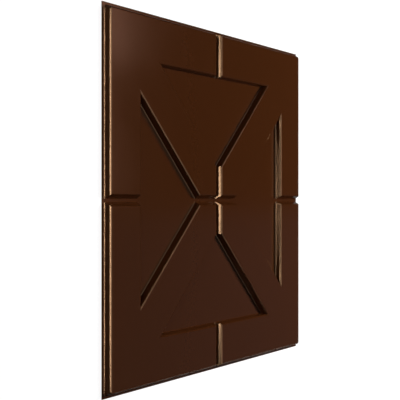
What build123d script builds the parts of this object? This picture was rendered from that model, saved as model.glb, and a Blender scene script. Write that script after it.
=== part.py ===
from build123d import *
from math import cos, radians, sin, sqrt, tan
import os

# Square wall panel, formed from one thin plastic sheet. A raised field stands on a flat edge flange. Two narrow
# grooves cross the field, and four triangular recesses leave diagonal arms between them.
# The field is hollow behind, so the back shows the same pattern pressed in.
# Millimetres. The panel lies on its back: z = 0 is the back of the base sheet, +Z is the face.

# Trimmed sheet
panel_side = 498.5
sheet = 1.0

# Height of the field, from the front of the base sheet to the front of the field
relief = 9.3

# Pattern at the foot of the walls, where wall and base sheet would meet without rounding
flange = 4.2
groove = 4.4
recess = 181.1
arm = 65.0

# Lean of the walls from the vertical, in degrees: outer and recess walls, then groove walls
wall_lean = 10.0
groove_lean = 27.0

# Radii on the front of the sheet: plan corners of the field, top edges and feet of the walls
corner_radius = 4.5
rim_radius = 3.0
foot_radius = 1.4


def side_step(lean, offset):
    """How far the foot of a leaning wall moves sideways when the surface moves back by offset."""
    return offset * (1 - sin(radians(lean))) / cos(radians(lean))


def raised_field(wall_step):
    """The field as a square block with leaning sides and rounded plan corners, before it is cut."""
    side = panel_side - 2 * flange - 2 * wall_step
    block = extrude(Rectangle(side, side), amount=relief, taper=wall_lean)
    uprights = block.edges().group_by(Axis.Z)[1]
    return fillet(uprights, corner_radius - wall_step)


def groove_cutter(groove_step):
    """One groove along Y, open at the top."""
    low = groove / 2 + groove_step
    high = low + relief * tan(radians(groove_lean))
    section = make_face(Polyline((-low, 0), (low, 0), (high, relief), (-high, relief), close=True))
    return extrude(Plane.XZ * section, amount=panel_side, both=True)


def recess_cutter(wall_step):
    """The triangular recess on the +X side, widest at the top."""
    wall_run = wall_step + relief * tan(radians(wall_lean))
    apex = (arm / 2 - wall_run) * sqrt(2)
    base = recess + wall_run
    half = base - apex
    triangle = make_face(Polyline((apex, 0), (base, half), (base, -half), close=True))
    return extrude(Pos(0, 0, relief) * triangle, amount=relief, dir=(0, 0, -1), taper=wall_lean)


def formed_block(level, offset):
    """Solid under one side of the formed sheet: a slab with its top at level and the cut field on it.

    offset is how far that side lies behind the front: walls step inwards, rims lose it and feet gain it.
    """
    wall_step = side_step(wall_lean, offset)
    groove_step = side_step(groove_lean, offset)
    field = raised_field(wall_step)
    field -= groove_cutter(groove_step)
    field -= Rot(0, 0, 90) * groove_cutter(groove_step)
    field -= PolarLocations(0, 4) * recess_cutter(wall_step)

    slab = Box(panel_side, panel_side, sheet, align=(Align.CENTER, Align.CENTER, Align.MAX))
    block = slab + field
    rims = block.faces().filter_by(Plane.XY).group_by(Axis.Z)[-1].edges()
    block = fillet(rims, rim_radius - offset)
    floor = block.faces().filter_by(Plane.XY).group_by(Axis.Z)[1]
    feet = [edge for wire in floor[0].inner_wires() for edge in wire.edges()]
    return Pos(0, 0, level) * fillet(feet, foot_radius + offset)


front = formed_block(sheet, 0)
back = formed_block(0, sheet)
wall_panel = front - back

os.makedirs("parts", exist_ok=True)
export_step(wall_panel, "parts/wall_panel.step")
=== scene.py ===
from math import cos, radians, sin

import bpy
from mathutils import Matrix, Vector

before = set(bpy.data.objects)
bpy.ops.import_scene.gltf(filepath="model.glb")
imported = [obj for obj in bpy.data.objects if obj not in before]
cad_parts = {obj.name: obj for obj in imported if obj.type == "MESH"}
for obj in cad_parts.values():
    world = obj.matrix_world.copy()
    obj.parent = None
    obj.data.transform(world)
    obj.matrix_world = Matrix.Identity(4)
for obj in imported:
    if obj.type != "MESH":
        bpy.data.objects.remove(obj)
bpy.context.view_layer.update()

# The panel lies on its back: +X is the photograph's right, +Y its up, +Z comes out of the face.
# Metres, degrees, watts and linear colours.

# Camera: it stands off the panel's left edge and looks down across the face
CAMERA_PLACE = (-1.0824, 0.0004, 0.7345)
CAMERA_TURN = 54.965
CAMERA_LENS = 79.55

# Plastic: brown with a darker mottle, uneven gloss and a fine drawn skin
BROWN = (0.0472, 0.0134, 0.0034)
BROWN_DARK = (0.0422, 0.0119, 0.0030)
MOTTLE_SCALE = 120.0
GLOSS_TINT = (1.0, 0.62, 0.36)
ROUGHNESS = 0.18
ROUGHNESS_SPREAD = 0.03
ROUGHNESS_SCALE = 35.0
SKIN_STRENGTH = 0.06
SKIN_DEPTH = 0.0001
SKIN_SCALE = 700.0

# Floor and sky: how white they are to the eye, and how bright in the panel's gloss
FLOOR_SIZE = 12.0
FLOOR_MATT = 0.15
FLOOR_WHITE = 0.92
FLOOR_IN_GLOSS = 0.05
SKY_WHITE = 1.0
SKY_IN_GLOSS = 0.01

# Points on the panel that the lamps look at
CENTRE = (0.0, 0.0, 0.0)
LEFT_EDGE = (-0.245, 0.0, 0.0)
UPPER_LEFT = (-0.2, 0.2, 0.0)

# Colours of the lamps
MAIN_LIGHT = (1.0, 0.98, 0.95)
WARM = (1.0, 0.95, 0.89)
COPPER = (1.0, 0.72, 0.68)
COOL = (0.3, 0.6, 1.0)

# Places of lamps: the row of low ones behind the camera, and the two close to the edges
LOW_X = -2.38
LOW_Z = 0.75
EDGE_PLACE = (-0.424, 0.005, 0.182)
LOWER_EDGE_PLACE = (0.25, -0.39, 0.1)


def new_material(name):
    """An empty node material: returns the material, its node tree and its output node."""
    material = bpy.data.materials.new(name)
    material.use_nodes = True
    tree = material.node_tree
    tree.nodes.clear()
    return material, tree, tree.nodes.new("ShaderNodeOutputMaterial")


def noise(tree, scale, detail):
    """Noise over the object's own coordinates: returns its grey output."""
    coords = tree.nodes.new("ShaderNodeTexCoord")
    node = tree.nodes.new("ShaderNodeTexNoise")
    node.inputs["Scale"].default_value = scale
    node.inputs["Detail"].default_value = detail
    tree.links.new(coords.outputs["Object"], node.inputs["Vector"])
    return node.outputs["Fac"]


def math_node(tree, operation, first, second):
    """A math node on an output and an output or number: returns its result."""
    node = tree.nodes.new("ShaderNodeMath")
    node.operation = operation
    tree.links.new(first, node.inputs[0])
    if isinstance(second, float):
        node.inputs[1].default_value = second
    else:
        tree.links.new(second, node.inputs[1])
    return node.outputs["Value"]


def plastic_material():
    """Satin brown plastic: a faint mottle in the colour, uneven gloss and a fine drawn skin."""
    material, tree, output = new_material("panel_plastic")
    link = tree.links.new
    shader = tree.nodes.new("ShaderNodeBsdfPrincipled")
    shader.inputs["Specular IOR Level"].default_value = 0.5
    shader.inputs["Specular Tint"].default_value = (*GLOSS_TINT, 1.0)

    colour = tree.nodes.new("ShaderNodeMix")
    colour.data_type = "RGBA"
    colour.inputs["A"].default_value = (*BROWN_DARK, 1.0)
    colour.inputs["B"].default_value = (*BROWN, 1.0)
    link(noise(tree, MOTTLE_SCALE, detail=5.0), colour.inputs["Factor"])
    link(colour.outputs["Result"], shader.inputs["Base Color"])

    gloss = tree.nodes.new("ShaderNodeMapRange")
    gloss.inputs["To Min"].default_value = ROUGHNESS - ROUGHNESS_SPREAD
    gloss.inputs["To Max"].default_value = ROUGHNESS + ROUGHNESS_SPREAD
    link(noise(tree, ROUGHNESS_SCALE, detail=3.0), gloss.inputs["Value"])
    link(gloss.outputs["Result"], shader.inputs["Roughness"])

    skin = tree.nodes.new("ShaderNodeBump")
    skin.inputs["Strength"].default_value = SKIN_STRENGTH
    skin.inputs["Distance"].default_value = SKIN_DEPTH
    link(noise(tree, SKIN_SCALE, detail=2.0), skin.inputs["Height"])
    link(skin.outputs["Normal"], shader.inputs["Normal"])

    link(shader.outputs["BSDF"], output.inputs["Surface"])
    return material


def seen_strength(tree, white, in_gloss):
    """A strength that is white to the eye and in glass, lower in gloss, and no light on matt faces."""
    paths = tree.nodes.new("ShaderNodeLightPath").outputs
    plain = math_node(tree, "MAXIMUM", paths["Is Camera Ray"], paths["Is Transmission Ray"])
    plain = math_node(tree, "MULTIPLY", plain, white)
    gloss = math_node(tree, "MULTIPLY", paths["Is Glossy Ray"], in_gloss)
    return math_node(tree, "MAXIMUM", plain, gloss)


def floor_material():
    """Plain white floor: a glow, and a matt part that keeps a faint shadow."""
    material, tree, output = new_material("floor_white")
    link = tree.links.new
    glow = tree.nodes.new("ShaderNodeEmission")
    link(seen_strength(tree, FLOOR_WHITE, FLOOR_IN_GLOSS), glow.inputs["Strength"])
    matt = tree.nodes.new("ShaderNodeBsdfDiffuse")
    matt.inputs["Color"].default_value = (FLOOR_MATT, FLOOR_MATT, FLOOR_MATT, 1.0)
    both = tree.nodes.new("ShaderNodeAddShader")
    link(matt.outputs["BSDF"], both.inputs[0])
    link(glow.outputs["Emission"], both.inputs[1])
    link(both.outputs["Shader"], output.inputs["Surface"])
    return material


def along_ray(point, away, lean, bearing):
    """The end of a ray from a point: lean from straight up, bearing from +X towards +Y."""
    out = sin(radians(lean))
    ray = Vector((out * cos(radians(bearing)), out * sin(radians(bearing)), cos(radians(lean))))
    return Vector(point) + away * ray


def add_lamp(name, place, target, size, watts, colour, shape="RECTANGLE"):
    """An area lamp; the first size runs along the photograph's up when the lamp stands at a side."""
    lamp = bpy.data.lights.new(name, "AREA")
    lamp.shape = shape
    lamp.size, lamp.size_y = size
    lamp.energy = watts
    lamp.color = colour
    obj = bpy.data.objects.new(name, lamp)
    obj.location = place
    obj.rotation_euler = (Vector(target) - Vector(place)).to_track_quat("-Z", "Y").to_euler()
    obj.visible_camera = False
    bpy.context.scene.collection.objects.link(obj)
    return obj


def light_panel():
    """The studio lamps: two that the gloss does not show, and ten that only the gloss shows."""
    main_place = along_ray(CENTRE, away=1.9, lean=51.0, bearing=12.0)
    fill_place = along_ray(CENTRE, away=1.5, lean=72.0, bearing=160.0)
    # Each faces down and away, so that only the panel's parts nearest to it show it
    edge_aim = along_ray(EDGE_PLACE, away=1.0, lean=152.0, bearing=180.0)
    lower_edge_aim = along_ray(LOWER_EDGE_PLACE, away=1.0, lean=162.8, bearing=270.0)
    matt = [
        add_lamp("main", main_place, CENTRE, (0.5, 0.5), 56.0, MAIN_LIGHT),
        # Faint light on the walls that face the camera
        add_lamp("fill", fill_place, CENTRE, (0.5, 0.5), 4.4, MAIN_LIGHT),
    ]
    for lamp in matt:
        lamp.visible_glossy = False
        # Sampled from the lamp alone, or stray rays would still show it in the gloss
        lamp.data.cycles.use_multiple_importance_sampling = False

    gloss = [
        # Bright side of the upright groove: its upper, middle and lower stretch
        add_lamp("low_upper", (LOW_X, 0.55, LOW_Z), CENTRE, (0.22, 0.12), 11.0, WARM),
        add_lamp("low_middle", (LOW_X, 0.0, LOW_Z), CENTRE, (0.4, 0.12), 17.0, WARM),
        add_lamp("low_lower", (LOW_X, -0.47, LOW_Z), CENTRE, (0.15, 0.12), 8.0, WARM),
        # The two lines along the left edge
        add_lamp("edge", EDGE_PLACE, edge_aim, (0.58, 0.13), 15.5, WARM),
        # Rims and feet of the arms, then of the walls that face the camera
        add_lamp("overhead", (-0.1, 0.0, 1.6), CENTRE, (3.1, 2.4), 42.0, WARM),
        add_lamp("crest", (-0.4, 0.0, 1.6), CENTRE, (2.0, 0.35), 24.0, WARM),
        # Fine line along the lower edge
        add_lamp("lower_edge", LOWER_EDGE_PLACE, lower_edge_aim, (0.6, 0.06), 0.5, WARM),
        # Sheen in the upper left corner and, weaker, down the left edge
        add_lamp("sheen", (0.70, 0.69, 0.95), UPPER_LEFT, (0.7, 0.12), 0.62, COPPER, shape="ELLIPSE"),
        add_lamp("side_sheen", (0.66, 0.22, 0.95), LEFT_EDGE, (0.45, 0.12), 0.34, COPPER),
        # Cool veil over the lower half
        add_lamp("veil", (1.35, -0.37, 0.9), (1.34, -0.37, 0.0), (0.65, 1.3), 0.26, COOL),
    ]
    for lamp in gloss:
        lamp.visible_diffuse = False


def add_floor():
    """A plain square floor under the panel."""
    half = FLOOR_SIZE / 2
    corners = [(-half, -half, 0), (half, -half, 0), (half, half, 0), (-half, half, 0)]
    mesh = bpy.data.meshes.new("floor")
    mesh.from_pydata(corners, [], [(0, 1, 2, 3)])
    mesh.materials.append(floor_material())
    floor = bpy.data.objects.new("floor", mesh)
    bpy.context.scene.collection.objects.link(floor)


def add_sky():
    """A white world that gives the panel almost no light."""
    world = bpy.data.worlds.new("studio")
    bpy.context.scene.world = world
    world.use_nodes = True
    tree = world.node_tree
    background = tree.nodes["Background"]
    background.inputs["Color"].default_value = (1.0, 1.0, 1.0, 1.0)
    tree.links.new(seen_strength(tree, SKY_WHITE, SKY_IN_GLOSS), background.inputs["Strength"])


def add_camera():
    """The photograph's camera, turned about +Y only, so that the photograph's up stays +Y."""
    data = bpy.data.cameras.new("camera")
    data.lens = CAMERA_LENS
    camera = bpy.data.objects.new("camera", data)
    turn = Matrix.Rotation(-radians(CAMERA_TURN), 4, "Y")
    camera.matrix_world = Matrix.Translation(CAMERA_PLACE) @ turn
    bpy.context.scene.collection.objects.link(camera)
    bpy.context.scene.camera = camera


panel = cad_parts["wall_panel"]
panel.data.materials.clear()
panel.data.materials.append(plastic_material())

add_floor()
light_panel()
add_sky()
add_camera()
bpy.context.scene.view_settings.view_transform = "Standard"
